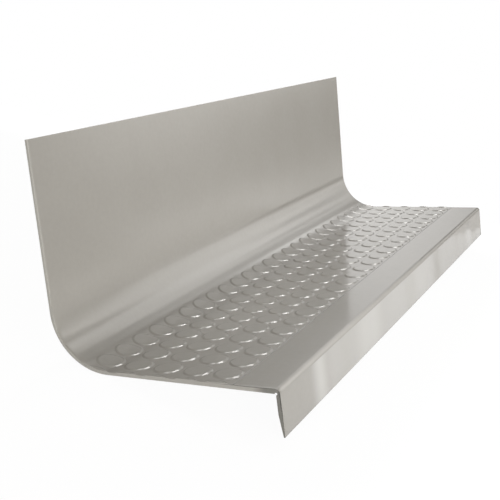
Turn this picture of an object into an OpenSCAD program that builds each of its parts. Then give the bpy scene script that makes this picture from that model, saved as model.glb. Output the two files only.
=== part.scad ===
// One-piece rubber stair covering: riser, cove, tread with raised discs, square nose
// with a flap. The piece is laid down as it rests by itself on a level floor, on the
// edge of its flap and the underside of its cove.
// The section is drawn once, level: y runs back from the nose, z rises from the top of
// the tread, and [0, 0] is the corner that the nose would have if it were sharp. The
// section is extruded along the step and then tilted to rest.

/* [Length] */
// Length of the piece along the step
tread_length = 914; // [450:1:1830]

/* [Tread] */
// Depth of the tread, from the corner of the nose to the foot of the riser's face
tread_depth = 261; // [250:1:330]
// Thickness of the tread just behind the nose
nose_thickness = 5.3; // [4.5:0.1:7]
// Thickness of the tread where the cove starts, and of the cove
tread_thickness = 3; // [2.5:0.1:4]
// Width of the smooth strip, from the corner of the nose to the fine groove behind it
strip_width = 51; // [35:1:58]
// Width of the fine groove behind the smooth strip
groove_width = 1; // [0.6:0.1:1.5]
// Depth of the fine groove
groove_depth = 0.4; // [0.2:0.1:0.8]

/* [Riser] */
// Height of the riser, along its face from the plane of the tread
riser_height = 248; // [150:1:280]
// Thickness of the riser at its top edge
riser_thickness = 2.6; // [2:0.1:3]
// Lean of the riser away from the nose, past square with the tread, in degrees
riser_lean = 1; // [0:0.5:6]

/* [Cove] */
// Radius of the cove between tread and riser, on the walking side
cove_radius = 63; // [35:1:75]

/* [Nose] */
// Drop of the flap, from the corner of the nose to the edge of the flap
flap_drop = 51; // [38:1:60]
// Flare of the flap away from the step, past square with the tread, in degrees
flap_flare = 3; // [0:0.5:8]
// Thickness of the upper part of the flap
flap_thickness = 4.6; // [3.5:0.1:6]
// Distance below the corner of the nose where the flap starts to taper
flap_taper_start = 27; // [15:0.5:32]
// Thickness of the flap at its edge
flap_edge_thickness = 1.8; // [1.2:0.1:3]
// Radius of the rounded edge of the nose
nose_radius = 5; // [2:0.25:6]
// Radius of the groove in the inner corner of the nose, which lets the flap bend
relief_radius = 1.6; // [0.6:0.1:2]
// Radius of the rounded lower corner of the flap at its right-hand end
flap_corner_radius = 14; // [4:1:25]

/* [Raised discs] */
// Spacing of the discs, the same along the step and across it
disc_pitch = 36; // [34:0.5:44]
// Diameter of a disc at its foot
disc_foot_diameter = 33; // [24:0.5:33.5]
// Height of a disc above the tread
disc_height = 1; // [0.5:0.1:2]
// Run of the sloping edge of a disc for each millimetre of its height
disc_edge_slope = 0.8; // [0:0.1:1.5]
// Number of rows of discs across the tread
disc_rows = 5; // [1:1:5]
// Distance of the first row's centres behind the corner of the nose
first_row_offset = 69; // [68:0.5:80]
// Distance of the first whole disc's centre from the left-hand end
first_disc_offset = 27; // [17:0.5:36]

/* [Hidden] */
$fn = 96;

rubber_colour = [0.66, 0.645, 0.61];
// Overlap where shapes are joined or cut right through
lap = 1;
// Distance that the arc of the flap's rounded corner reaches below the flap's edge, so
// that the two meet at a slight angle
corner_sink = 0.2;

// Centre of the cove, where its circle touches both the tread and the riser's face
cove_y = tread_depth - cove_radius * (1 - sin(riser_lean)) / cos(riser_lean);
cove_centre = [cove_y, cove_radius];
riser_along = [sin(riser_lean), cos(riser_lean)];
riser_back = [cos(riser_lean), -sin(riser_lean)];
riser_face_foot = cove_centre + cove_radius * riser_back;
riser_back_foot = cove_centre + (cove_radius + tread_thickness) * riser_back;
riser_face_top = [tread_depth, 0] + riser_height * riser_along;
riser_back_top = riser_face_top + riser_thickness * riser_back;

// Point of the flap at a distance down its face and a depth behind the face
function on_flap(down, depth) = [
    depth * cos(flap_flare) - down * sin(flap_flare),
    -down * cos(flap_flare) - depth * sin(flap_flare)];
flap_edge_radius = flap_edge_thickness / 2;
flap_edge_centre = on_flap(flap_drop - flap_edge_radius, flap_edge_radius);
// Inner corner, where the back of the flap meets the underside of the tread
inner_corner = on_flap(
    (nose_thickness - flap_thickness * sin(flap_flare)) / cos(flap_flare),
    flap_thickness);
// Distance from the sharp corner to where the rounded edge of the nose starts
nose_tangent = nose_radius * (1 - sin(flap_flare)) / cos(flap_flare);

// Slope of the floor line that touches the flap's edge and the underside of the cove,
// for the piece at rest: both circles lie on the same side of that line
rest_span = cove_centre - flap_edge_centre;
rest_radius = cove_radius + tread_thickness;
rest_slope = atan2(rest_span.y, rest_span.x)
    - asin((rest_radius - flap_edge_radius) / norm(rest_span));
function at_rest(p) = [
    p.x * cos(rest_slope) + p.y * sin(rest_slope),
    p.y * cos(rest_slope) - p.x * sin(rest_slope)];
rest_front = at_rest(flap_edge_centre).x - flap_edge_radius;
rest_back = at_rest(riser_back_top).x;
rest_floor = at_rest(flap_edge_centre).y - flap_edge_radius;

// Pattern of discs
disc_foot_radius = disc_foot_diameter / 2;
last_disc = floor((tread_length - first_disc_offset + disc_foot_radius) / disc_pitch);
// Angle round the cove at a distance past its start; none on the flat of the tread
function cove_angle(past_start) = max(0, past_start) / cove_radius * 180 / PI;

// Sector of the cove between the tread and the riser, wide enough to take in its wall
module cove_sector() {
    reach = 2 * (cove_radius + tread_thickness);
    middle = (-90 - riser_lean) / 2;
    translate(cove_centre)
        polygon([
            [0, 0],
            [0, -reach],
            reach * [cos(middle), sin(middle)],
            reach * riser_back]);
}

// Ring of the cove from one radius to another
module cove_ring(inner, outer) {
    intersection() {
        cove_sector();
        translate(cove_centre)
            difference() {
                circle(outer);
                circle(inner);
            }
    }
}

// Tapering tread, from the nose to the start of the cove
module tread_section() {
    polygon([
        [0, 0],
        [cove_y, 0],
        [cove_y, -tread_thickness],
        inner_corner]);
}

// Flap, even in thickness at first, then tapering at its back to a round edge. It is
// drawn straight down behind its face and turned as a whole by its flare.
module flap_section() {
    straight_drop = flap_drop - flap_edge_radius;
    rotate(-flap_flare) {
        polygon([
            [0, 0],
            [flap_thickness, 0],
            [flap_thickness, -flap_taper_start],
            [flap_edge_thickness, -straight_drop],
            [0, -straight_drop]]);
        translate([flap_edge_radius, -straight_drop])
            circle(flap_edge_radius);
    }
}

// Cut that rounds the edge of the nose
module nose_rounding() {
    centre = [nose_tangent, -nose_radius];
    difference() {
        polygon([
            centre,
            [nose_tangent, lap],
            [-lap, lap],
            on_flap(nose_tangent, -lap)]);
        translate(centre)
            circle(nose_radius);
    }
}

// Fine V groove along the back of the smooth strip
module strip_groove() {
    translate([strip_width, 0])
        polygon([
            [-groove_width / 2, 0],
            [-groove_width / 2, lap],
            [groove_width / 2, lap],
            [groove_width / 2, 0],
            [0, -groove_depth]]);
}

// Riser, thinning from the cove to its top edge
module riser_section() {
    polygon([riser_face_foot, riser_face_top, riser_back_top, riser_back_foot]);
}

// Whole section of the piece
module section() {
    difference() {
        union() {
            tread_section();
            flap_section();
            cove_ring(cove_radius, cove_radius + tread_thickness);
            riser_section();
        }
        nose_rounding();
        strip_groove();
        translate(inner_corner)
            circle(relief_radius);
    }
}

// Extrudes a section along the step
module along_step() {
    rotate([90, 0, 90])
        linear_extrude(tread_length)
            children();
}

// Layer that the discs stand in: it follows the tread and the cove and is as high
// as the discs above them
module disc_layer() {
    along_step() {
        translate([strip_width, -lap])
            square([cove_y - strip_width, lap + disc_height]);
        cove_ring(cove_radius - disc_height, cove_radius + lap);
    }
}

// One disc, as a cone that is square to the surface and reaches through the layer
module disc_cone() {
    reach_above = 4 * lap;
    translate([0, 0, -lap])
        cylinder(
            h = lap + reach_above,
            r1 = disc_foot_radius + disc_edge_slope * lap,
            r2 = disc_foot_radius - disc_edge_slope * reach_above);
}

// All discs of the pattern. Rows past the flat of the tread climb the cove.
module disc_cones() {
    for (row = [0 : disc_rows - 1]) {
        y = first_row_offset + row * disc_pitch;
        turn = cove_angle(y - cove_y);
        for (column = [-1 : last_disc])
            translate([
                first_disc_offset + column * disc_pitch,
                min(y, cove_y) + cove_radius * sin(turn),
                cove_radius * (1 - cos(turn))])
                rotate([turn, 0, 0])
                    disc_cone();
    }
}

module raised_discs() {
    intersection() {
        disc_layer();
        disc_cones();
    }
}

// Cut that rounds the lower corner of the flap at the right-hand end
module flap_corner_cut() {
    flap_bottom = flap_edge_centre.y - flap_edge_radius;
    arc_height = flap_bottom + flap_corner_radius - corner_sink;
    size = flap_corner_radius + lap;
    translate([tread_length - flap_corner_radius, flap_drop, arc_height])
        rotate([90, 0, 0])
            linear_extrude(2 * flap_drop)
                difference() {
                    translate([0, -size])
                        square(size);
                    circle(flap_corner_radius);
                }
}

// Level piece, with its left-hand end at x = 0
module level_piece() {
    difference() {
        union() {
            along_step()
                section();
            raised_discs();
        }
        flap_corner_cut();
    }
}

module tread_with_riser() {
    color(rubber_colour)
        translate([-tread_length / 2, -(rest_front + rest_back) / 2, -rest_floor])
            rotate([-rest_slope, 0, 0])
                level_piece();
}

tread_with_riser();
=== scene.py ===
# %% [markdown]
# # Rubber stair tread with riser
# A stair covering of this kind is one moulding of rubber. A step gets a tread with
# raised discs, a square nose whose flap hangs over the step's edge, and a riser panel
# that stands against the step behind. A cove joins tread and riser, so that no corner
# is left to sweep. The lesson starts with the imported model, which gives the frame that
# everything is placed in.

# %% Load the frame
import math

import bmesh
import bpy
from mathutils import Matrix, Vector


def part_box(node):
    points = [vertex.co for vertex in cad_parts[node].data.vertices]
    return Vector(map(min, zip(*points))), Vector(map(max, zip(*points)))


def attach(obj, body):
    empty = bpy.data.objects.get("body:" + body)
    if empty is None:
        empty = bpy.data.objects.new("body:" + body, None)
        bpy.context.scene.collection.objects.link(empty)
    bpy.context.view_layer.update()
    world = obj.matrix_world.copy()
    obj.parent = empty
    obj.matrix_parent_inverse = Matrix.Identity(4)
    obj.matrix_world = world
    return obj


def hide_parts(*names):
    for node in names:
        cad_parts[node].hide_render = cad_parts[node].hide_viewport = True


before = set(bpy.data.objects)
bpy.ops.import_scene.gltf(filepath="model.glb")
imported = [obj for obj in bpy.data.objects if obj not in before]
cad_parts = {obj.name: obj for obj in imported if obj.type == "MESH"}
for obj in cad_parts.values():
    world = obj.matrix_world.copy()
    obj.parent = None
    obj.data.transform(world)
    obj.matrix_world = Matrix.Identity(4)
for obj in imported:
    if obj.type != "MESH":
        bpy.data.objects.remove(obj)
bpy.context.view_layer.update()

# %% [markdown]
# ## Sizes
# The moulding is measured in millimetres, level and from the sharp corner of its nose:
# y runs back along the tread and z rises from the tread's face. The distance along the
# walking side, from the nose over tread and cove, is called the run. A moulding is
# drawn best in this level state, and laid down to rest at the very end.

# %% Sizes of the moulding
MM = 0.001
LENGTH = 914
TREAD_DEPTH, NOSE_THICKNESS, TREAD_THICKNESS = 261, 5.3, 3
RISER_HEIGHT, RISER_THICKNESS, RISER_LEAN = 248, 2.6, math.radians(1)
COVE_RADIUS = 63
STRIP_WIDTH, GROOVE_WIDTH, GROOVE_DEPTH = 51, 1, 0.4
NOSE_RADIUS, RELIEF_RADIUS = 5, 1.6
FLAP_DROP, FLAP_FLARE, FLAP_THICKNESS = 51, math.radians(3), 4.6
FLAP_TAPER_START, FLAP_EDGE_THICKNESS, FLAP_CORNER_RADIUS = 27, 1.8, 14
DISC_PITCH, DISC_FOOT, DISC_HEIGHT, DISC_EDGE_SLOPE = 36, 33, 1, 0.8
DISC_ROWS, FIRST_ROW, FIRST_DISC = 5, 69, 27

COVE_START = TREAD_DEPTH - COVE_RADIUS * (1 - math.sin(RISER_LEAN)) / math.cos(RISER_LEAN)
COVE_TURN = math.pi / 2 - RISER_LEAN
print("the cove starts", round(COVE_START, 2), "mm behind the nose and turns",
      round(math.degrees(COVE_TURN), 1), "degrees")


# %% [markdown]
# ## Points of the section
# Two small functions give every point of the section. One follows the walking side: it
# takes a run and a height above the face, and bends round the cove. The other measures
# down the flap and into its thickness, which leans forward by its flare.

# %% Points on the walking side and on the flap
def on_walking_side(run, height=0.0):
    turn = min(max(run - COVE_START, 0) / COVE_RADIUS, COVE_TURN)
    past_cove = max(run - COVE_START - COVE_RADIUS * COVE_TURN, 0)
    reach = COVE_RADIUS - height
    y = min(run, COVE_START) + reach * math.sin(turn) + past_cove * math.cos(turn)
    z = COVE_RADIUS - reach * math.cos(turn) + past_cove * math.sin(turn)
    return y, z


def on_flap(down, depth):
    c, s = math.cos(FLAP_FLARE), math.sin(FLAP_FLARE)
    return depth * c - down * s, -down * c - depth * s


def arc(centre, radius, start, end, steps):
    angles = [start + (end - start) * i / steps for i in range(steps + 1)]
    return [(centre[0] + radius * math.cos(a), centre[1] + radius * math.sin(a)) for a in angles]


def stations(a, b, steps, edge=0.4):
    """Points from a to b, with one close to each end that keeps the shading of the flat flat."""
    length = math.dist(a, b)
    shares = [0, edge / length] + [i / steps for i in range(1, steps)] + [1 - edge / length, 1]
    return [(a[0] + (b[0] - a[0]) * t, a[1] + (b[1] - a[1]) * t) for t in shares]


print("top of the riser's face", [round(v, 1) for v in on_walking_side(
    COVE_START + COVE_RADIUS * COVE_TURN + RISER_HEIGHT)])

# %% [markdown]
# ## The section without its discs
# The discs are a square pattern, so they are made as tiles later. Everything else is the
# same all along the step, so it is one line: it starts in front of the first row of
# tiles, runs over the nose and under the piece, up the back of the riser, over its top
# and down its face, and stops on the cove where the last row of tiles ends. Its corners
# come first, worked out from the sizes.

# %% Corners of the section
PATTERN_START = STRIP_WIDTH + GROOVE_WIDTH / 2
PATTERN_END = FIRST_ROW + (DISC_ROWS - 0.5) * DISC_PITCH
EDGE_RADIUS = FLAP_EDGE_THICKNESS / 2
STRAIGHT_DROP = FLAP_DROP - EDGE_RADIUS

nose_tangent = NOSE_RADIUS * (1 - math.sin(FLAP_FLARE)) / math.cos(FLAP_FLARE)
inner_down = (NOSE_THICKNESS - FLAP_THICKNESS * math.sin(FLAP_FLARE)) / math.cos(FLAP_FLARE)
inner_corner = on_flap(inner_down, FLAP_THICKNESS)
under_start = (COVE_START, -TREAD_THICKNESS)
under_angle = math.atan2(under_start[1] - inner_corner[1], under_start[0] - inner_corner[0])
relief_end = (inner_corner[0] + RELIEF_RADIUS * math.cos(under_angle),
              inner_corner[1] + RELIEF_RADIUS * math.sin(under_angle))
cove_centre = (COVE_START, COVE_RADIUS)
outer = COVE_RADIUS + TREAD_THICKNESS
foot_back = (cove_centre[0] + outer * math.cos(-RISER_LEAN),
             cove_centre[1] + outer * math.sin(-RISER_LEAN))
foot_face = on_walking_side(COVE_START + COVE_RADIUS * COVE_TURN)
up = (math.sin(RISER_LEAN), math.cos(RISER_LEAN))
back = (math.cos(RISER_LEAN), -math.sin(RISER_LEAN))
top_face = (TREAD_DEPTH + RISER_HEIGHT * up[0], RISER_HEIGHT * up[1])
print("inner corner of the nose", [round(v, 2) for v in inner_corner],
      "and back of the riser's foot", [round(v, 2) for v in foot_back])

# %% Line of the section
# Width of the riser's rounded top edge, and how far in its rounding lies from the corner
TOP_EDGE, TOP_ROUNDING = 0.5, 0.15
# Steps of the curves, and parts that the straight stretches are divided into
NOSE_STEPS, EDGE_STEPS, RELIEF_STEPS, COVE_BACK_STEPS, COVE_FACE_STEPS = 14, 10, 14, 24, 30
STRIP_PARTS, FLAP_PARTS, TAPER_PARTS, EVEN_PARTS = 5, 8, 4, 3
UNDER_PARTS, RISER_BACK_PARTS, RISER_FACE_PARTS = 8, 6, 8


def at_top(inward, down):
    """Point near the riser's top edge, measured from its face and down from its top."""
    return (top_face[0] + inward * back[0] - down * up[0],
            top_face[1] + inward * back[1] - down * up[1])


section = [(PATTERN_START, 0), (STRIP_WIDTH, -GROOVE_DEPTH)]
section += stations((STRIP_WIDTH - GROOVE_WIDTH / 2, 0), (nose_tangent, 0), STRIP_PARTS)
section += arc((nose_tangent, -NOSE_RADIUS), NOSE_RADIUS,
               math.pi / 2, math.pi + FLAP_FLARE, NOSE_STEPS)[1:]
flap_from = len(section)
section += stations(on_flap(nose_tangent, 0), on_flap(STRAIGHT_DROP, 0), FLAP_PARTS)[1:]
flap_to = len(section) - 1
section += arc(on_flap(STRAIGHT_DROP, EDGE_RADIUS), EDGE_RADIUS,
               math.pi - FLAP_FLARE, 2 * math.pi - FLAP_FLARE, EDGE_STEPS)[1:]
back_from = len(section)
section += stations(on_flap(STRAIGHT_DROP, FLAP_EDGE_THICKNESS),
                    on_flap(FLAP_TAPER_START, FLAP_THICKNESS), TAPER_PARTS)[1:]
section += stations(on_flap(FLAP_TAPER_START, FLAP_THICKNESS),
                    on_flap(inner_down + RELIEF_RADIUS, FLAP_THICKNESS), EVEN_PARTS)[1:]
section += arc(inner_corner, RELIEF_RADIUS, -math.pi / 2 - FLAP_FLARE,
               under_angle - 2 * math.pi, RELIEF_STEPS)[1:-1]
section += stations(relief_end, under_start, UNDER_PARTS)
section += arc(cove_centre, outer, -math.pi / 2, -RISER_LEAN, COVE_BACK_STEPS)[1:]
section += stations(foot_back, at_top(RISER_THICKNESS, TOP_EDGE), RISER_BACK_PARTS)[1:]
back_to = len(section) - 1
rounding = TOP_ROUNDING * TOP_EDGE
section += [at_top(RISER_THICKNESS - rounding, rounding),
            at_top(RISER_THICKNESS - TOP_EDGE, 0), at_top(TOP_EDGE, 0),
            at_top(rounding, rounding)]
section += stations(at_top(0, TOP_EDGE), foot_face, RISER_FACE_PARTS)
end_turn = (PATTERN_END - COVE_START) / COVE_RADIUS
for step in range(1, COVE_FACE_STEPS + 1):
    turn = COVE_TURN + (end_turn - COVE_TURN) * step / COVE_FACE_STEPS
    section.append(on_walking_side(COVE_START + COVE_RADIUS * turn))
print("points on the section's line", len(section), "with the flap's face at", flap_from, "to",
      flap_to, "and the back at", back_from, "to", back_to)

# %% [markdown]
# ## Nodes as Python
# Geometry Nodes and materials are both made of nodes, and both are easier to read as
# sums. A small class wraps a socket, so that a * b + 1 adds the Math nodes for it, and
# one method adds any other node: its type, its settings, then its sockets.

# %% Sockets that can be added and multiplied
class Wire:
    def __init__(self, graph, socket):
        self.graph, self.socket = graph, socket

    def math(self, operation, *values):
        sockets = dict(enumerate(values))
        return self.graph.add("ShaderNodeMath", {"operation": operation}, sockets)[0]

    def __add__(self, other): return self.math("ADD", self, other)
    def __radd__(self, other): return self.math("ADD", other, self)
    def __sub__(self, other): return self.math("SUBTRACT", self, other)
    def __rsub__(self, other): return self.math("SUBTRACT", other, self)
    def __mul__(self, other): return self.math("MULTIPLY", self, other)
    def __rmul__(self, other): return self.math("MULTIPLY", other, self)
    def __truediv__(self, other): return self.math("DIVIDE", self, other)
    def __mod__(self, other): return self.math("FLOORED_MODULO", self, other)
    def __floordiv__(self, other): return self.math("FLOOR", self / other)
    def __abs__(self): return self.math("ABSOLUTE", self)
    def least(self, other): return self.math("MINIMUM", self, other)
    def most(self, other): return self.math("MAXIMUM", self, other)
    def sin(self): return self.math("SINE", self)
    def cos(self): return self.math("COSINE", self)

    def within(self, limit, soft):
        """1 below a limit and 0 above it, with a soft edge."""
        return self.graph.add("ShaderNodeMapRange", {"interpolation_type": "SMOOTHSTEP"}, {
            "Value": self, "From Min": limit + soft, "From Max": limit - soft})[0]


class Outputs:
    def __init__(self, graph, node):
        self.graph, self.node = graph, node

    def __getitem__(self, key):
        return Wire(self.graph, self.node.outputs[key])


class Graph:
    def __init__(self, tree):
        self.tree = tree

    def add(self, kind, settings=None, sockets=None):
        node = self.tree.nodes.new(kind)
        for name, value in (settings or {}).items():
            setattr(node, name, value)
        for key, value in (sockets or {}).items():
            if isinstance(value, Wire):
                self.tree.links.new(value.socket, node.inputs[key])
            else:
                node.inputs[key].default_value = value
        return Outputs(self, node)

    def xyz(self, x=0.0, y=0.0, z=0.0):
        return self.add("ShaderNodeCombineXYZ", None, {0: x, 1: y, 2: z})[0]

    def parts(self, vector):
        return self.add("ShaderNodeSeparateXYZ", None, {0: vector})


print("node helpers ready")

# %% [markdown]
# ## How the moulding could be made
# The discs could be cylinders set on a block, but then tread and discs would meet in
# hard seams and the last row would float off the cove. Here the walking side is laid
# out flat, as a maker cuts a mould: each disc is one square tile whose rings of points
# run from the tile's border over the disc's foot and edge to its middle. The tiles are
# welded along their borders and bent round the cove together, so that tread, cove and
# discs are one skin. Geometry Nodes suit this, because both the tiles and the section
# repeat by rule.

# %% Rings of one disc tile
SPOKES = 32
PER_SIDE = SPOKES // 4
# Share of the foot's radius, of the sloping edge's run, and of the disc's height. The edge
# slopes evenly over about 3 mm and is rounded at its foot and its top, as a worn mould
# leaves it. The first ring lies just outside the foot and keeps the shading of the flat
# between the discs flat.
RINGS = [
    (1.00, -0.30, 0.00),
    (1.00, 0.00, 0.00),
    (1.00, 0.38, 0.06),
    (1.00, 1.00, 0.26),
    (1.00, 2.00, 0.58),
    (1.00, 3.00, 0.90),
    (1.00, 3.38, 0.975),
    (1.00, 3.75, 1.00),
    (1.00, 4.20, 1.00),
    (0.50, 0.00, 1.00),
    (0.00, 0.00, 1.00),
]
print("faces in one tile", len(RINGS) * SPOKES)


# %% Numbers that a node picks or marks
def pick(graph, index, values):
    """One of several numbers, chosen by a whole number."""
    switch = graph.tree.nodes.new("GeometryNodeIndexSwitch")
    switch.data_type = "FLOAT"
    while len(switch.index_switch_items) < len(values):
        switch.index_switch_items.new()
    graph.tree.links.new(index.socket, switch.inputs["Index"])
    for i, value in enumerate(values):
        switch.inputs[i + 1].default_value = value
    return Wire(graph, switch.outputs[0])


def side_of_square(turn):
    """Runs from 1 to -1 and back as a point walks round the border of a square."""
    wave = abs(turn % 4.0 - 2.0) - 1.0
    return (2.0 * wave).least(1.0).most(-1.0)


def marked(graph, geometry, name, index, size):
    """Stores 1 at the section's points of one stretch, and 0 at all others."""
    first, last = size[name + " from"], size[name + " to"]
    share = (index - first + 1.0).least(last - index + 1.0).least(1.0).most(0.0)
    return graph.add("GeometryNodeStoreNamedAttribute", {"data_type": "FLOAT", "domain": "POINT"},
                     {"Geometry": geometry, "Name": name, "Value": share})[0]


def placed(graph, geometry, position):
    return graph.add("GeometryNodeSetPosition", None,
                     {"Geometry": geometry, "Position": position})[0]


print("number helpers ready")


# %% Parts of the tree
def swept_section(graph, size, section_in):
    """The section's line, repeated along the step as the rows of a grid."""
    index = graph.add("GeometryNodeInputIndex")[0]
    count = graph.add("GeometryNodeAttributeDomainSize", {"component": "MESH"},
                      {0: section_in})["Point Count"]
    steps = size["Columns"] * PER_SIDE
    grid = graph.add("GeometryNodeMeshGrid", None,
                     {"Vertices X": steps + 1.0, "Vertices Y": count})["Mesh"]
    point = graph.add("GeometryNodeSampleIndex", {"data_type": "FLOAT_VECTOR"},
                      {"Geometry": section_in,
                       "Value": graph.add("GeometryNodeInputPosition")[0],
                       "Index": index % count})[0]
    place = graph.parts(point)
    x = size["Left border"] + (index // count) * size["Pitch"] / PER_SIDE
    swept = placed(graph, grid, graph.xyz(x, place[1], place[2]))
    for name in ("groove", "flap", "back"):
        swept = marked(graph, swept, name, index % count, size)
    return swept


def disc_tile(graph, size):
    """One square tile with its disc, as a grid of rings and spokes."""
    index = graph.add("GeometryNodeInputIndex")[0]
    per_ring = SPOKES + 1
    grid = graph.add("GeometryNodeMeshGrid", None,
                     {"Vertices X": len(RINGS) + 1, "Vertices Y": per_ring})["Mesh"]
    ring = index // per_ring
    turn = (index % per_ring) / PER_SIDE
    border = 1.0 - ring.least(1.0)
    foot_share, edge_share, height_share = (
        pick(graph, ring, [0.0] + [r[i] for r in RINGS]) for i in range(3))
    height = height_share * size["Disc height"]
    radius = foot_share * size["Disc foot"] / 2.0 \
        - edge_share * size["Disc edge slope"] * size["Disc height"]
    angle = turn * (math.pi / 2)
    half = border * size["Pitch"] / 2.0
    x = half * side_of_square(turn) + radius * angle.cos()
    y = half * side_of_square(turn + 3.0) + radius * angle.sin()
    return placed(graph, grid, graph.xyz(x, y, height))


def tile_pattern(graph, size, tile):
    """The tiles side by side, still flat: x along the step, y the run, z the height."""
    index = graph.add("GeometryNodeInputIndex")[0]
    grid = graph.add("GeometryNodeMeshGrid", None,
                     {"Vertices X": size["Columns"], "Vertices Y": size["Rows"]})["Mesh"]
    x = size["Left border"] + (index // size["Rows"] + 0.5) * size["Pitch"]
    y = size["First row"] + (index % size["Rows"]) * size["Pitch"]
    tiles = graph.add("GeometryNodeInstanceOnPoints", None,
                      {"Points": placed(graph, grid, graph.xyz(x, y)), "Instance": tile})[0]
    return graph.add("GeometryNodeRealizeInstances", None, {0: tiles})[0]


def bent_round_cove(graph, size, pattern):
    """The flat pattern, bent so that its run follows the tread and then the cove."""
    place = graph.parts(graph.add("GeometryNodeInputPosition")[0])
    run = place[1].most(size["Pattern start"])
    turn = (run - size["Cove start"]).most(0.0) / size["Cove radius"]
    reach = size["Cove radius"] - place[2]
    y = run.least(size["Cove start"]) + reach * turn.sin()
    z = size["Cove radius"] - reach * turn.cos()
    return placed(graph, pattern, graph.xyz(place[0], y, z))


print("tree parts ready")

# %% [markdown]
# ## The tree of the moulding
# The tree takes the section's line as its geometry and the sizes as named inputs. It
# joins the swept section to the bent tiles, welds them, and gives the skin its rubber.

# %% Build the tree
# Points closer together than this many millimetres are welded
WELD = 0.01


def moulding_tree(sizes, material):
    tree = bpy.data.node_groups.new("moulding", "GeometryNodeTree")
    tree.interface.new_socket("Section", in_out="INPUT", socket_type="NodeSocketGeometry")
    for name in sizes:
        tree.interface.new_socket(name, in_out="INPUT", socket_type="NodeSocketFloat")
    tree.interface.new_socket("Moulding", in_out="OUTPUT", socket_type="NodeSocketGeometry")
    graph = Graph(tree)
    given = graph.add("NodeGroupInput")
    size = {name: given[name] for name in sizes}
    skin = swept_section(graph, size, given["Section"])
    tiles = tile_pattern(graph, size, disc_tile(graph, size))
    both = graph.add("GeometryNodeJoinGeometry")
    for part in (skin, bent_round_cove(graph, size, tiles)):
        tree.links.new(part.socket, both.node.inputs[0])
    welded = graph.add("GeometryNodeMergeByDistance", None,
                       {"Geometry": both[0], "Distance": WELD * MM})[0]
    whole = graph.add("GeometryNodeRealizeInstances", None, {0: welded})[0]
    smooth = graph.add("GeometryNodeSetShadeSmooth", None, {"Geometry": whole})[0]
    finished = graph.add("GeometryNodeSetMaterial", None,
                         {"Geometry": smooth, "Material": material})[0]
    graph.add("NodeGroupOutput", None, {0: finished})
    return tree


rubber = bpy.data.materials.new("rubber")
rubber.use_nodes = True
columns = math.ceil((LENGTH - FIRST_DISC + DISC_PITCH / 2) / DISC_PITCH) + 1
moulding_sizes = {
    "Left border": (FIRST_DISC - 1.5 * DISC_PITCH) * MM,
    "Columns": float(columns),
    "Rows": float(DISC_ROWS),
    "Pitch": DISC_PITCH * MM,
    "First row": FIRST_ROW * MM,
    "Pattern start": PATTERN_START * MM,
    "Disc foot": DISC_FOOT * MM,
    "Disc height": DISC_HEIGHT * MM,
    "Disc edge slope": DISC_EDGE_SLOPE,
    "Cove start": COVE_START * MM,
    "Cove radius": COVE_RADIUS * MM,
    "groove from": 1.0,
    "groove to": 1.0,
    "flap from": float(flap_from),
    "flap to": float(flap_to),
    "back from": float(back_from),
    "back to": float(back_to),
}
print("columns of tiles", columns)

# %% [markdown]
# ## From tree to mesh
# The section's line goes in as a mesh of points. The modifier's inputs are set, the
# result is taken off as a plain mesh, and the modifier has done its work.

# %% Run the tree
line = bpy.data.meshes.new("section_line")
line.from_pydata([(0, y * MM, z * MM) for y, z in section],
                 [(i, i + 1) for i in range(len(section) - 1)], [])
worker = bpy.data.objects.new("section_line", line)
bpy.context.scene.collection.objects.link(worker)
tree = moulding_tree(moulding_sizes, rubber)
modifier = worker.modifiers.new("moulding", "NODES")
modifier.node_group = tree
for item in tree.interface.items_tree:
    if item.in_out == "INPUT" and item.name in moulding_sizes:
        modifier[item.identifier] = moulding_sizes[item.name]
bpy.context.view_layer.update()
evaluated = worker.evaluated_get(bpy.context.evaluated_depsgraph_get())
skin_mesh = bpy.data.meshes.new_from_object(evaluated)
bpy.data.objects.remove(worker)
print("skin", len(skin_mesh.vertices), "points", len(skin_mesh.polygons), "faces")
for axis, name in enumerate("xyz"):
    along = [1000 * v.co[axis] for v in skin_mesh.vertices]
    print("skin in mm along", name, round(min(along), 1), "to", round(max(along), 1))

# %% [markdown]
# ## Cut to length
# Moulded stock is trimmed at both ends, and the trim runs straight through the discs.
# A plane cut does the same here: what stands past each end is cut off, and the open
# outline that is left is filled with one face. A cut edge of rubber is never quite
# sharp, so the outline gets a small bevel that catches the light.

# %% Cut both ends
CUT_BEVEL, BEVEL_SEGMENTS = 0.25, 2
# Distance in metres at which a point counts as lying on the cut
ON_CUT = 1e-6
shape = bmesh.new()
shape.from_mesh(skin_mesh)
for end, outward in ((0, -1), (LENGTH * MM, 1)):
    every = list(shape.verts) + list(shape.edges) + list(shape.faces)
    bmesh.ops.bisect_plane(shape, geom=every, dist=ON_CUT, plane_co=(end, 0, 0),
                           plane_no=(outward, 0, 0), clear_outer=True)
    rim = [edge for edge in shape.edges
           if edge.is_boundary and all(abs(v.co.x - end) < ON_CUT for v in edge.verts)]
    bmesh.ops.contextual_create(shape, geom=rim)
    bmesh.ops.bevel(shape, geom=rim, offset=CUT_BEVEL * MM, segments=BEVEL_SEGMENTS,
                    profile=0.5, affect="EDGES", clamp_overlap=True)
bmesh.ops.recalc_face_normals(shape, faces=shape.faces)
print("open edges left", sum(e.is_boundary for e in shape.edges),
      "volume in cm3", round(shape.calc_volume() * 1e6, 1))
shape.to_mesh(skin_mesh)
shape.free()

# %% [markdown]
# ## The rounded corner of the flap
# The flap's lower corner at the right-hand end is rounded off, so that it doesn't catch.
# A short round-sided cutter takes it away with a Boolean modifier.

# %% Round the corner off
CORNER_STEPS = 16
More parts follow.
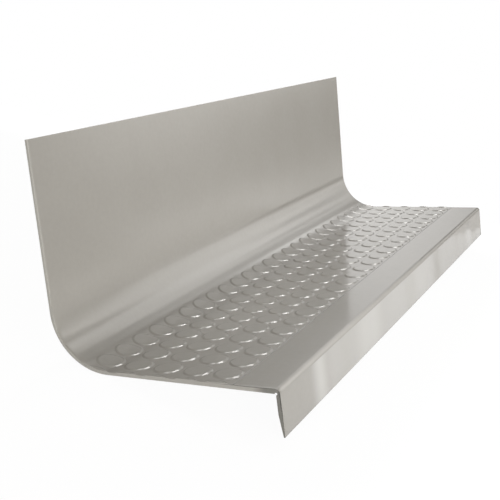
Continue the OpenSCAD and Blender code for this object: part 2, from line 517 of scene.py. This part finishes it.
# How far the cutter stands past the piece, and its front and back
SPARE, CUTTER_FRONT, CUTTER_BACK = 1, -10, 10
piece = bpy.data.objects.new("tread_with_riser_rubber", skin_mesh)
bpy.context.scene.collection.objects.link(piece)
flap_bottom = on_flap(STRAIGHT_DROP, EDGE_RADIUS)[1] - EDGE_RADIUS
corner_centre = (LENGTH - FLAP_CORNER_RADIUS, flap_bottom + FLAP_CORNER_RADIUS)
outline = arc(corner_centre, FLAP_CORNER_RADIUS, -math.pi / 2, 0, CORNER_STEPS)
outline += [(LENGTH + SPARE, corner_centre[1]), (LENGTH + SPARE, flap_bottom - SPARE),
            (corner_centre[0], flap_bottom - SPARE)]
cutter_mesh = bpy.data.meshes.new("corner_cutter")
count = len(outline)
cutter_mesh.from_pydata(
    [(x * MM, y * MM, z * MM) for y in (CUTTER_FRONT, CUTTER_BACK) for x, z in outline], [],
    [tuple(range(count)), tuple(reversed(range(count, 2 * count)))]
    + [(i, i + count, (i + 1) % count + count, (i + 1) % count) for i in range(count)])
cutter = bpy.data.objects.new("corner_cutter", cutter_mesh)
bpy.context.scene.collection.objects.link(cutter)
boolean = piece.modifiers.new("round the corner", "BOOLEAN")
boolean.object, boolean.operation, boolean.solver = cutter, "DIFFERENCE", "EXACT"
bpy.context.view_layer.update()
rounded = bpy.data.meshes.new_from_object(
    piece.evaluated_get(bpy.context.evaluated_depsgraph_get()))
piece.modifiers.clear()
piece.data = rounded
bpy.data.objects.remove(cutter)
print("faces after the cut", len(rounded.polygons))

# %% [markdown]
# ## At rest
# Let go, the piece tips until it stands on the edge of its flap and the underside of
# its cove. Both are round in section, so the floor is the line that touches both
# circles, and that line's slope turns the moulding to its rest.

# %% Lay it down
SHARP_FROM = math.radians(32)
edge_centre = Vector((0, *on_flap(STRAIGHT_DROP, EDGE_RADIUS)))
span = Vector((0, *cove_centre)) - edge_centre
rest_slope = math.atan2(span.z, span.y) - math.asin((outer - EDGE_RADIUS) / span.length)
lay_down = Matrix.Rotation(-rest_slope, 4, "X")
front = (lay_down @ edge_centre).y - EDGE_RADIUS
floor_level = (lay_down @ edge_centre).z - EDGE_RADIUS
rear = (lay_down @ Vector((0, *at_top(RISER_THICKNESS, 0)))).y
shift = Vector((-LENGTH / 2, -(front + rear) / 2, -floor_level)) * MM
rounded.transform(Matrix.Translation(shift) @ lay_down)
rounded.polygons.foreach_set("use_smooth", [True] * len(rounded.polygons))
rounded.set_sharp_from_angle(angle=SHARP_FROM)
rounded.update()
print("slope at rest in degrees", round(math.degrees(rest_slope), 2))
node_low, node_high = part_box("tread_with_riser")
print("CAD node in mm", [round(1000 * v, 2) for v in (*node_low, *node_high)])
print("this piece in mm", [round(1000 * f(v.co[i] for v in rounded.vertices), 2)
                           for f in (min, max) for i in range(3)])

# %% [markdown]
# ## One piece in the frame
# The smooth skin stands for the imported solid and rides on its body.

# %% Tie the piece to the frame
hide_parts("tread_with_riser")
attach(piece, "root")
print("piece", piece.name, "rides on root")

# %% [markdown]
# ## The rubber
# Moulded rubber of this kind is a warm light grey with a satin skin that mirrors softly
# at a low angle. It isn't perfectly even: the colour is faintly clouded, the skin has the
# slight ripple of an orange's peel, and the soft flap hangs in slow waves. Pale patches of
# painted reflection lie on parts of the flap. The back is buffed for the glue and the ends
# are cut, so both are matt and grained; the thick end at the nose is darkened with painted
# shade, and the fine groove is darkened with painted shade. The tree marked the back, the
# flap's face and the groove for this, and the cut ends are what faces sideways.

# %% Values of the rubber
RUBBER_LIGHT = (0.364, 0.350, 0.322, 1)
RUBBER_DARK = (0.306, 0.292, 0.267, 1)
# Painted reflection: a pale tint on patches of the flap's face
RUBBER_PAINTED_REFLECTION = (0.62, 0.61, 0.59, 1)
# Painted shade on the cut ends near the nose
RUBBER_PAINTED_END_SHADE = (0.17, 0.165, 0.148, 1)
# Painted shade in the fine groove behind the nose strip
RUBBER_PAINTED_GROOVE_SHADE = (0.02, 0.02, 0.018, 1)
RUBBER_IOR = 1.5
# Painted reflection on the flap: middle along the step, half width and softness in mm, share
FLAP_REFLECTION_PATCHES = [(102, 14, 14, 0.45), (335, 225, 40, 0.3), (270, 40, 25, 0.22)]
# How far back the painted shade on the nose's end reaches, from the middle of the piece,
# and its softness, in mm
PAINTED_END_SHADE_REACH, PAINTED_END_SHADE_SOFT = -130, 8
# A face counts as a cut end when it faces sideways by more than this share
SIDEWAYS, SIDEWAYS_GAIN = 0.8, 8.0
# Size across of the patterns in millimetres, and their shares in the clouded colour
CLOUDS_ACROSS, PEEL_ACROSS, GRAIN_ACROSS, WAVES_ACROSS = 60, 6, 1.2, 110
CLOUDS_SHARE, PEEL_SHARE, GRAIN_SHARE = 0.4, 0.4, 0.2
# Heights of the ripples in millimetres
PEEL, FLAP_WAVES, GRAIN = 0.02, 6, 0.05
SATIN, CLOUDED, MATT = 0.12, 0.06, 0.35
print("patches of painted_reflection on the flap", len(FLAP_REFLECTION_PATCHES))


# %% Make the rubber
def coordinates(graph, kind):
    return graph.add("ShaderNodeTexCoord")[kind]


def noise(graph, across, detail=2.0):
    """Cloudy pattern whose patches are about so many millimetres across."""
    return graph.add("ShaderNodeTexNoise", None, {
        "Vector": coordinates(graph, "Object"), "Scale": 1 / (across * MM), "Detail": detail})[0]


def noise_along(graph, across):
    """Slow pattern that changes along the step alone."""
    place = graph.parts(coordinates(graph, "Object"))
    return graph.add("ShaderNodeTexNoise", {"noise_dimensions": "1D"}, {
        "W": place[0], "Scale": 1 / (across * MM), "Detail": 1.0})[0]


def mixed_colour(graph, share, first, second):
    return graph.add("ShaderNodeMix", {"data_type": "RGBA"}, {0: share, 6: first, 7: second})[2]


def make_rubber(material):
    graph = Graph(material.node_tree)
    material.node_tree.nodes.clear()
    clouds, grain, peel = (noise(graph, across)
                           for across in (CLOUDS_ACROSS, GRAIN_ACROSS, PEEL_ACROSS))
    flap, back, groove = (graph.add("ShaderNodeAttribute", {"attribute_name": name})["Fac"]
                          for name in ("flap", "back", "groove"))
    facing = graph.parts(coordinates(graph, "Normal"))
    cut = ((abs(facing[0]) - SIDEWAYS) * SIDEWAYS_GAIN).most(0.0).least(1.0)
    matt = back.most(cut)
    place = graph.parts(coordinates(graph, "Object"))
    # Painted shade: the cut ends near the nose are darkened
    painted_end_shade = cut * place[1].within(PAINTED_END_SHADE_REACH * MM, PAINTED_END_SHADE_SOFT * MM)
    # Patches of painted reflection on the flap's face
    patches = 0.0
    for middle, half_width, soft, share in FLAP_REFLECTION_PATCHES:
        away = abs(place[0] - (middle - LENGTH / 2) * MM)
        patches = away.within(half_width * MM, soft * MM) * share + patches
    mix = clouds * CLOUDS_SHARE + peel * PEEL_SHARE + grain * GRAIN_SHARE
    colour = mixed_colour(graph, mix, RUBBER_DARK, RUBBER_LIGHT)
    # Painted reflection on the flap, painted shade at the nose's end and in the groove
    for share, tint in ((flap * patches, RUBBER_PAINTED_REFLECTION), (painted_end_shade, RUBBER_PAINTED_END_SHADE),
                        (groove, RUBBER_PAINTED_GROOVE_SHADE)):
        colour = mixed_colour(graph, share, colour, tint)
    roughness = SATIN + CLOUDED * clouds + MATT * matt
    waves = flap * noise_along(graph, WAVES_ACROSS)
    height = PEEL * peel + GRAIN * (matt * grain) + FLAP_WAVES * waves
    bump = graph.add("ShaderNodeBump", None, {
        "Strength": 1.0, "Distance": 1 * MM, "Height": height})[0]
    surface = graph.add("ShaderNodeBsdfPrincipled", None, {
        "Base Color": colour, "Roughness": roughness, "Normal": bump, "IOR": RUBBER_IOR})
    graph.add("ShaderNodeOutputMaterial", None, {"Surface": surface[0]})


make_rubber(rubber)
print("rubber nodes", len(rubber.node_tree.nodes))

# %% [markdown]
# ## Floor
# The piece lies on a sheet of white paper. What sees the floor directly, as the camera
# and mirrored rays do, gets its white from a plain glow and not from more lamps, with a
# little of the lit paper mixed in, so that the piece keeps its soft shadow. The glow is
# just over 1 for the camera and a bit more in gloss, because the photo's own white is
# overexposed. Towards its rim the sheet turns to glow alone, so that no edge shows
# against the white backdrop. It ends just past the right-hand end of the piece, and what
# gloss mirrors beyond is the studio's far floor.

# %% Make the floor
SHEET_LOW, SHEET_HIGH = (-1.3, -0.46), (0.55, 1.3)
RIM_FADE = 0.25
SHADOW_SHARE = 0.1
PAPER = (0.55, 0.55, 0.55, 1)
WHITE = (1, 1, 1, 1)
PAPER_SEEN, PAPER_MIRRORED = 1.06, 1.22


def seen_directly(path):
    """1 for rays from the camera, off gloss and through glass, and 0 for lighting."""
    return (path["Is Camera Ray"] + path["Is Glossy Ray"] + path["Is Transmission Ray"]).least(1.0)


def make_paper():
    paper = bpy.data.materials.new("white_paper")
    paper.use_nodes = True
    paper.node_tree.nodes.clear()
    graph = Graph(paper.node_tree)
    (x0, y0), (x1, y1) = SHEET_LOW, SHEET_HIGH
    place = graph.parts(coordinates(graph, "Object"))
    from_rim = ((place[0] - x0).least(x1 - place[0])).least((place[1] - y0).least(y1 - place[1]))
    near = graph.add("ShaderNodeMapRange", {"interpolation_type": "SMOOTHSTEP"},
                     {"Value": from_rim, "From Min": 0.0, "From Max": RIM_FADE})[0]
    path = graph.add("ShaderNodeLightPath")
    glow = PAPER_SEEN + (PAPER_MIRRORED - PAPER_SEEN) * path["Is Glossy Ray"]
    matt = graph.add("ShaderNodeBsdfDiffuse", None, {"Color": PAPER})[0]
    white = graph.add("ShaderNodeEmission", None, {"Color": WHITE, "Strength": glow})[0]
    mixed = graph.add("ShaderNodeMixShader", None, {
        0: seen_directly(path) * (1.0 - SHADOW_SHARE * near), 1: matt, 2: white})[0]
    graph.add("ShaderNodeOutputMaterial", None, {"Surface": mixed})
    return paper


def make_floor():
    mesh = bpy.data.meshes.new("floor")
    (x0, y0), (x1, y1) = SHEET_LOW, SHEET_HIGH
    mesh.from_pydata([(x0, y0, 0), (x1, y0, 0), (x1, y1, 0), (x0, y1, 0)], [], [(0, 1, 2, 3)])
    mesh.materials.append(make_paper())
    floor = bpy.data.objects.new("floor", mesh)
    bpy.context.scene.collection.objects.link(floor)


make_floor()
print("floor sheet from", SHEET_LOW, "to", SHEET_HIGH, "m")

# %% [markdown]
# ## Studio
# The rubber is glossy, so the studio shows in it and is worth building with care. It
# stands in the world: a dim room, a white backdrop and soft lights round the piece. A
# wide main light at the front left lights the piece, and the smaller ones are there for
# what gloss mirrors: the bands of light on riser and cove, the bright part of the tread,
# and the crescents on the edges of the discs, which face a place high on the right. Two
# lights that share an edge and its softness join without a seam. The main light is
# strong, so gloss sees only a share of it. The camera itself sees plain white.

# %% Lights of the studio
# Each light has its middle round the piece and its half width, its lowest and its highest
# edge above the horizon, its softness, all in degrees, and its strength.
MAIN_LIGHT = (303.5, 64, -3, 31, 5, 3.25)
MAIN_MIRRORED = 0.35
BACKDROP = (152.5, 49.5, -4.5, 23, 8, 1.4)
SOFT_LIGHTS = {
    "low front": (3, 36, -3, 20, 3, 1.8),
    "foot of the riser": (58, 4.5, 5, 27, 3, 2.5),
    "riser": (58, 4.5, 0.5, 5, 3, 1.3),
    "far floor, near part": (59.5, 5.5, -9.5, -5, 1.5, 2.4),
    "far floor, far part": (59.5, 5.5, -5, -2.3, 1.5, 1.5),
    "far floor, on the right": (72, 6.5, -9.5, -2.5, 1.5, 0.7),
    "floor past the sheet": (70, 24, -40, -9.5, 1.5, 1.1),
    "upper cove": (66, 4, 3, 27.5, 1.5, 1.5),
    "right end of the cove": (75, 12.5, 11, 26, 2.5, 0.95),
    "bright band of the cove": (73.5, 6.5, 21, 29, 3, 2.0),
    "left end of the cove": (75, 10, 27, 40, 3, 2.5),
    "lower cove": (92, 8.5, 22.5, 38, 3, 1.45),
    "bright part of the tread": (113.5, 17.5, 21.5, 28.5, 2, 2),
    "tips of the crescents": (112.5, 4.5, 40, 48, 2, 14),
    "middles of the crescents": (117.5, 7.5, 48, 56, 2, 12),
    "tails of the crescents": (139, 8, 47.5, 55, 2.5, 8),
}
ROOM = 0.06
LIGHT_COLOUR = (1, 0.987, 0.965, 1)
FULL_TURN = 360.0
print("soft lights in the studio", len(SOFT_LIGHTS))


# %% Make the studio
def soft_light(turn, rise, light):
    middle, half_width, lowest, highest, soft, strength = light
    across = abs((turn - middle + FULL_TURN / 2) % FULL_TURN - FULL_TURN / 2)
    up = abs(rise - (lowest + highest) / 2)
    return strength * (across.within(half_width, soft) * up.within((highest - lowest) / 2, soft))


def make_studio():
    world = bpy.data.worlds.new("studio")
    bpy.context.scene.world = world
    world.use_nodes = True
    world.node_tree.nodes.clear()
    graph = Graph(world.node_tree)
    towards = graph.parts(coordinates(graph, "Generated"))
    degrees = 180 / math.pi
    turn = graph.add("ShaderNodeMath", {"operation": "ARCTAN2"},
                     {0: towards[0], 1: towards[1] * -1.0})[0] * degrees
    rise = graph.add("ShaderNodeMath", {"operation": "ARCSINE"}, {0: towards[2]})[0] * degrees
    path = graph.add("ShaderNodeLightPath")
    seen_share = 1.0 - (1.0 - MAIN_MIRRORED) * path["Is Glossy Ray"]
    light = soft_light(turn, rise, MAIN_LIGHT) * seen_share
    light = light + soft_light(turn, rise, BACKDROP) + ROOM
    for each in SOFT_LIGHTS.values():
        light = light + soft_light(turn, rise, each)
    background = path["Is Camera Ray"].most(path["Is Transmission Ray"])
    lamps = graph.add("ShaderNodeBackground", None, {"Color": LIGHT_COLOUR, "Strength": light})[0]
    white = graph.add("ShaderNodeBackground", None, {"Color": WHITE, "Strength": 1.0})[0]
    seen = graph.add("ShaderNodeMixShader", None, {0: background, 1: lamps, 2: white})[0]
    graph.add("ShaderNodeOutputWorld", None, {"Surface": seen})


make_studio()
print("studio ready")

# %% [markdown]
# ## Camera and view
# The camera stands low on the left in front of the step, where the photographer stood,
# and looks along the piece, tilted a little.

# %% Camera
CAMERA_AT = (-1.2289, -0.4306, 0.4589)
CAMERA_TURN = (70.772, -7.903, -65.972)
LENS, SENSOR, SHIFT = 67.27, 36, (-0.054, 0.030)
NEAREST = 0.05

camera_data = bpy.data.cameras.new("camera")
camera_data.lens, camera_data.sensor_width = LENS, SENSOR
camera_data.shift_x, camera_data.shift_y = SHIFT
camera_data.clip_start = NEAREST
camera = bpy.data.objects.new("camera", camera_data)
camera.location = CAMERA_AT
camera.rotation_euler = [math.radians(a) for a in CAMERA_TURN]
bpy.context.scene.collection.objects.link(camera)
bpy.context.scene.camera = camera
bpy.context.scene.view_settings.view_transform = "Standard"
print("camera with lens", LENS, "mm")
